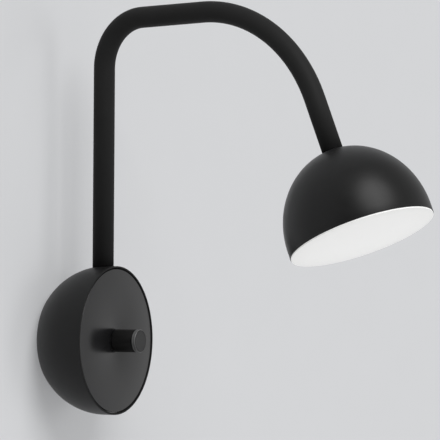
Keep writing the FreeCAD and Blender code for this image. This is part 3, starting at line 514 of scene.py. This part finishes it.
for name, node in nodes.items():
    node.data.materials.clear()
    node.data.materials.append(finishes[slots[name]])
print("finishes:", len(finishes), "on", len(nodes), "pieces")

# %% [markdown]
# ## Turned skins
# The base, the face plate, the shade, the diffuser and the knob are all round, so each starts as an
# outline of a few points, spun once round its axis. The two walls of a shell are one closed outline.
# Bevels then break every corner, because a sharp corner catches no light. A piece is made upright
# round Z and put in its place as a mesh, so its object stays at the origin as the model's pieces do.

# %% Outlines, spinning and bevels
MERGE = 0.001  # points nearer to each other than this become one


def ellipse(radius, curve, lip, high, count):
    """Points of a dome's outline from its lip up to a height, evenly turned."""
    end = asin((high - lip) / curve)
    return [(radius * cos(end * n / count), lip + curve * sin(end * n / count)) for n in range(count + 1)]


def spun(outline, steps, closed=True):
    """An outline of (radius, height) in millimetres, turned round Z with its doubles merged."""
    mesh = bmesh.new()
    corners = [mesh.verts.new((radius * LENGTHS, 0, height * LENGTHS)) for radius, height in outline]
    ends = corners[1:] + corners[:1] if closed else corners[1:]
    edges = [mesh.edges.new(pair) for pair in zip(corners, ends)]
    bmesh.ops.spin(mesh, geom=corners + edges, axis=(0, 0, 1), angle=tau, steps=steps, use_merge=True)
    bmesh.ops.remove_doubles(mesh, verts=mesh.verts, dist=MERGE * LENGTHS)
    bmesh.ops.recalc_face_normals(mesh, faces=mesh.faces)
    return mesh


def soften(mesh, offset, over=50, segments=3):
    """Bevel the corners that are sharper than an angle in degrees."""
    corners = [edge for edge in mesh.edges if edge.calc_face_angle(0) > radians(over)]
    bmesh.ops.bevel(mesh, geom=corners, offset=offset * LENGTHS, affect="EDGES", segments=segments,
                    profile=0.5, material=-1)


print("a dome in three points:", [(round(out, 1), round(up, 1)) for out, up in ellipse(10, 10, 0, 10, 2)])

# %% [markdown]
# ## From mesh to piece
# A finished mesh becomes an object that rides on the same body as the model's piece, replaces it and
# takes its finish. How far its box is from that piece's box is printed, because a skin that grew or
# shrank would no longer fit its neighbours.

# %% Settling a piece
SMOOTH_UNDER = 35  # degrees between two faces, past which the edge looks sharp


def settle(mesh, name, node, place):
    """Make the object of a finished skin, in place of the model's piece of that name."""
    bmesh.ops.transform(mesh, matrix=place, verts=mesh.verts)
    for face in mesh.faces:
        face.smooth = True
    for edge in mesh.edges:
        edge.smooth = edge.calc_face_angle(0) < radians(SMOOTH_UNDER)
    data = bpy.data.meshes.new(name)
    mesh.to_mesh(data)
    mesh.free()
    data.materials.append(finishes[slots[node]])
    piece = bpy.data.objects.new(name, data)
    bpy.context.scene.collection.objects.link(piece)
    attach(piece, nodes[node]["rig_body"])
    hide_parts(node)
    low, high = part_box(node)
    reach = [[pick(v.co[n] for v in data.vertices) for n in range(3)] for pick in (min, max)]
    gap = max(abs(a - b) for a, b in zip(reach[0] + reach[1], list(low) + list(high)))
    print(name, "triangles", sum(len(p.vertices) - 2 for p in data.polygons), "off the model by",
          round(gap / LENGTHS, 3), "mm")
    return piece


print("edges look smooth up to", SMOOTH_UNDER, "degrees")

# %% [markdown]
# ## Drilling
# Holes in a curved wall are cut with a Boolean, because any other way would need the wall's grid to
# be rebuilt round them. Each cutter is a round pin between two points. The cut mesh is read back
# from the modifiers, and the pins and the blank are taken away again.

# %% Drill
PIN_SIDES = 96


def drill(mesh, *pins):
    """Cut round holes: each pin is a radius, a start and an end, in millimetres."""
    data = bpy.data.meshes.new("drilled")
    mesh.to_mesh(data)
    mesh.free()
    blank = bpy.data.objects.new("drilled", data)
    bpy.context.scene.collection.objects.link(blank)
    cutters = []
    for radius, start, end in pins:
        along = Vector(end) - Vector(start)
        middle = (Vector(start) + Vector(end)) / 2 * LENGTHS
        pin = bmesh.new()
        bmesh.ops.create_cone(pin, cap_ends=True, segments=PIN_SIDES, radius1=radius * LENGTHS,
                              radius2=radius * LENGTHS, depth=along.length * LENGTHS)
        turn = along.to_track_quat("Z", "Y").to_matrix().to_4x4()
        bmesh.ops.transform(pin, matrix=Matrix.Translation(middle) @ turn, verts=pin.verts)
        cutter = bpy.data.objects.new("pin", bpy.data.meshes.new("pin"))
        pin.to_mesh(cutter.data)
        pin.free()
        bpy.context.scene.collection.objects.link(cutter)
        cut = blank.modifiers.new("hole", "BOOLEAN")
        cut.object = cutter
        cut.solver = "EXACT"
        cutters.append(cutter)
    ready = blank.evaluated_get(bpy.context.evaluated_depsgraph_get())
    result = bmesh.new()
    result.from_mesh(bpy.data.meshes.new_from_object(ready))
    for spare in cutters + [blank]:
        bpy.data.objects.remove(spare)
    return result


print("a hole has", PIN_SIDES, "sides")

# %% [markdown]
# ## Base
# The base is spun from sheet: a short straight lip at the front, then a dome whose section is an
# ellipse and which stops just short of the wall. It is made with its front edge at height 0 and
# then laid over, so that its height runs towards the wall. Its front edge is rounded by a third of
# a millimetre. The tube goes in through a hole at the top and the set screw sits in a small hole
# below.

# %% Base skin
BASE_RADIUS, BASE_CURVE, BASE_LIP, BASE_WALL, BASE_END = 49.0, 46.0, 7.2, 1.2, 41.2
TUBE_HOLE = 7.35, (0, -SWIVEL_DEPTH, 30), (0, -SWIVEL_DEPTH, 60)  # radius, start and end of the pin
SET_SCREW_HOLE = 2.03, (0, -9, -25), (0, -9, -60)

on_base = Matrix.Translation((0, -BASE_DEPTH * LENGTHS, 0)) @ Matrix.Rotation(radians(-90), 4, "X")
outer = ellipse(BASE_RADIUS, BASE_CURVE, BASE_LIP, BASE_END, count=28)
inner = ellipse(BASE_RADIUS - BASE_WALL, BASE_CURVE - BASE_WALL, BASE_LIP, BASE_END, count=28)
base = spun([(BASE_RADIUS, 0)] + outer + inner[::-1] + [(BASE_RADIUS - BASE_WALL, 0)], steps=256)
soften(base, 0.33)
bmesh.ops.transform(base, matrix=on_base, verts=base.verts)
base = drill(base, TUBE_HOLE, SET_SCREW_HOLE)
settle(base, "base_skin", "base_shell", Matrix.Identity(4))

# %% [markdown]
# ## Face plate
# The plate is a flat disc that stands nearly flush with the base's edge, a dark line all round it.
# A shallow pocket under the knob leaves room for the nut that holds the dimmer, and three studs on
# its back go through the ring inside the base.

# %% Face plate skin
PLATE_RADIUS, PLATE_FRONT, PLATE_BACK = 47.1, 0.4, 2.7
BUSH_HOLE, PLATE_POCKET, PLATE_POCKET_FLOOR = 3.58, 6.0, 1.5
STUD_CIRCLE, STUD_RADIUS, STUD_LENGTH = 42.5, 1.5, 6.6

plate = spun([(BUSH_HOLE, PLATE_POCKET_FLOOR), (PLATE_POCKET, PLATE_POCKET_FLOOR),
              (PLATE_POCKET, PLATE_FRONT), (PLATE_RADIUS, PLATE_FRONT),
              (PLATE_RADIUS, PLATE_BACK), (BUSH_HOLE, PLATE_BACK)], steps=192)
soften(plate, 0.28)
for turn in (radians(90), radians(210), radians(330)):
    spot = Vector((STUD_CIRCLE * cos(turn), STUD_CIRCLE * sin(turn), PLATE_BACK + STUD_LENGTH / 2))
    bmesh.ops.create_cone(plate, cap_ends=True, segments=32, radius1=STUD_RADIUS * LENGTHS,
                          radius2=STUD_RADIUS * LENGTHS, depth=STUD_LENGTH * LENGTHS,
                          matrix=Matrix.Translation(spot * LENGTHS))
settle(plate, "face_plate_skin", "face_plate", on_base)

# %% [markdown]
# ## Knob
# The knob is a turned bar. A smooth collar at its root, a long grip with straight knurls, a smooth
# band between two narrow grooves and the end follow one another. A pocket in its back clears the
# nut, and a bore holds the brass insert. In the photograph the knob and the plate stand a millimetre
# further out than in the model, so the skins do too. The knob is spun as one outline with four
# columns to each knurl. Two columns of each four are then drawn in, which presses the knurls as a
# knurling wheel does.

# %% Knob skin
KNURLS, KNURL_DEPTH = 60, 0.28
KNOB_BACK, GRIP_START, GRIP_END, BAND_END, RIM_START = 0.1, 0.6, 15.1, 17.0, 17.6  # from the base's edge
KNOB_POCKET_END, BORE_END = 1.5, 14.53
COLLAR_RADIUS, GROOVE_RADIUS, KNOB_POCKET, BORE_RADIUS = 7.3, 6.9, 6.15, 4.63
GRIP_CHAMFER, END_CHAMFER = 0.3, 0.4

outline = [
    (0, BORE_END), (BORE_RADIUS, BORE_END), (BORE_RADIUS, KNOB_POCKET_END),
    (KNOB_POCKET, KNOB_POCKET_END), (KNOB_POCKET, KNOB_BACK), (COLLAR_RADIUS, KNOB_BACK),
    (COLLAR_RADIUS, GRIP_START),
    (KNOB_RADIUS, GRIP_START + GRIP_CHAMFER), (KNOB_RADIUS, GRIP_END - GRIP_CHAMFER),
    (KNOB_RADIUS - KNURL_DEPTH, GRIP_END), (GROOVE_RADIUS, GRIP_END), (GROOVE_RADIUS, BAND_START),
    (KNOB_RADIUS, BAND_START), (KNOB_RADIUS, BAND_END), (GROOVE_RADIUS, BAND_END),
    (GROOVE_RADIUS, RIM_START), (KNOB_RADIUS, RIM_START), (KNOB_RADIUS, KNOB_END - END_CHAMFER),
    (KNOB_RADIUS - END_CHAMFER, KNOB_END), (0, KNOB_END)]
knob = spun([(radius, -out) for radius, out in outline], 4 * KNURLS, closed=False)
for vert in knob.verts:
    on_grip = GRIP_START < -vert.co.z / LENGTHS < GRIP_END
    if on_grip and vert.co.xy.length > (KNOB_RADIUS - 0.1) * LENGTHS:
        column = round(vert.co.xy.angle_signed(Vector((1, 0))) / (tau / (4 * KNURLS))) % 4
        if column > 1:
            vert.co.xy *= 1 - KNURL_DEPTH / KNOB_RADIUS
soften(knob, 0.06, over=60, segments=2)
settle(knob, "knob_skin", "dimmer_knob", on_base)

# %% [markdown]
# ## Arm
# The arm is one steel tube, bent twice in a bender. The model here is made as the bender makes it: a
# ring is drawn out straight and swung round a bend, twice over, and its end is drawn out once more.
# Solidify then gives the tube its wall inwards, so the outside keeps its size.

# %% Arm skin
TUBE_RADIUS, TUBE_WALL = 7.0, 1.2

tube = bmesh.new()
ring = bmesh.ops.create_circle(tube, segments=64, radius=TUBE_RADIUS * LENGTHS)
bmesh.ops.translate(tube, verts=ring["verts"], vec=Vector((0, -SWIVEL_DEPTH, FOOT)) * LENGTHS)


def draw_out(edges, along):
    """Extrude an open end of the tube; its new edges are the next open end."""
    made = bmesh.ops.extrude_edge_only(tube, edges=edges)["geom"]
    bmesh.ops.translate(tube, verts=[g for g in made if isinstance(g, bmesh.types.BMVert)], vec=along)
    return [g for g in made if isinstance(g, bmesh.types.BMEdge) and g.is_boundary]


end = draw_out(list(tube.edges), Vector((0, 0, RISE - FOOT)) * LENGTHS)
point, angle = Vector((0, -SWIVEL_DEPTH, RISE)) * LENGTHS, 0.0
for radius, bend, run in BENDS:
    centre = point - Vector((0, cos(angle), sin(angle))) * radius * LENGTHS
    corners = list({vert for edge in end for vert in edge.verts})
    swung = bmesh.ops.spin(tube, geom=corners + end, cent=centre, axis=(1, 0, 0), angle=radians(bend),
                           steps=36)["geom_last"]
    angle += radians(bend)
    point = centre + Vector((0, cos(angle), sin(angle))) * radius * LENGTHS
    forward = Vector((0, -sin(angle), cos(angle))) * run * LENGTHS
    end = draw_out([g for g in swung if isinstance(g, bmesh.types.BMEdge)], forward)
    point += forward
bmesh.ops.remove_doubles(tube, verts=tube.verts, dist=MERGE * LENGTHS)
bmesh.ops.recalc_face_normals(tube, faces=tube.faces)
arm = settle(tube, "arm_skin", "arm_tube", arm_turn)
wall = arm.modifiers.new("wall", "SOLIDIFY")
wall.thickness = TUBE_WALL * LENGTHS
wall.offset = -1

# %% [markdown]
# ## Shade
# The shade is the base's twin, a little deeper, spun from the same kind of outline. A small flat at
# its crown seats the tube, with a hole for the nipple that holds the two together. Its rim stops
# short of the diffuser's outer face, which covers it.

# %% Shade skin
SHADE_WALL, SHADE_RIM, CROWN_WALL, NIPPLE_HOLE = 1.5, 1.0, 1.9, 5.1

crown = SHADE_HEIGHT - CROWN_WALL
outer = ellipse(SHADE_RADIUS, SHADE_CURVE, SHADE_LIP, SHADE_HEIGHT, count=40)
inner = ellipse(SHADE_RADIUS - SHADE_WALL, SHADE_CURVE - SHADE_WALL, SHADE_LIP, crown, count=40)
shade = spun([(SHADE_RADIUS, SHADE_RIM)] + outer + [(NIPPLE_HOLE, SHADE_HEIGHT), (NIPPLE_HOLE, crown)]
             + inner[::-1] + [(SHADE_RADIUS - SHADE_WALL, SHADE_RIM)], steps=256)
soften(shade, 0.2, over=60)
settle(shade, "shade_skin", "shade_shell", on_shade)

# %% [markdown]
# ## Diffuser
# The diffuser is a flat cap that covers the shade's rim and clicks into it with a low skirt, so the
# shade shows as a black edge-on half circle above one white line. Its outline starts and ends on
# the axis, where the spin closes it.

# %% Diffuser skin
SKIRT_OUTSIDE, SKIRT_INSIDE, SKIRT_TOP, CAP_THICKNESS = 45.3, 43.7, 6.0, 2.0

cap = spun([(0, 0), (CAP_RADIUS, 0), (CAP_RADIUS, SHADE_RIM), (SKIRT_OUTSIDE, SHADE_RIM),
            (SKIRT_OUTSIDE, SKIRT_TOP), (SKIRT_INSIDE, SKIRT_TOP), (SKIRT_INSIDE, CAP_THICKNESS),
            (0, CAP_THICKNESS)], steps=192, closed=False)
soften(cap, 0.35, over=60, segments=4)
settle(cap, "diffuser_skin", "diffuser", on_shade)

# %% [markdown]
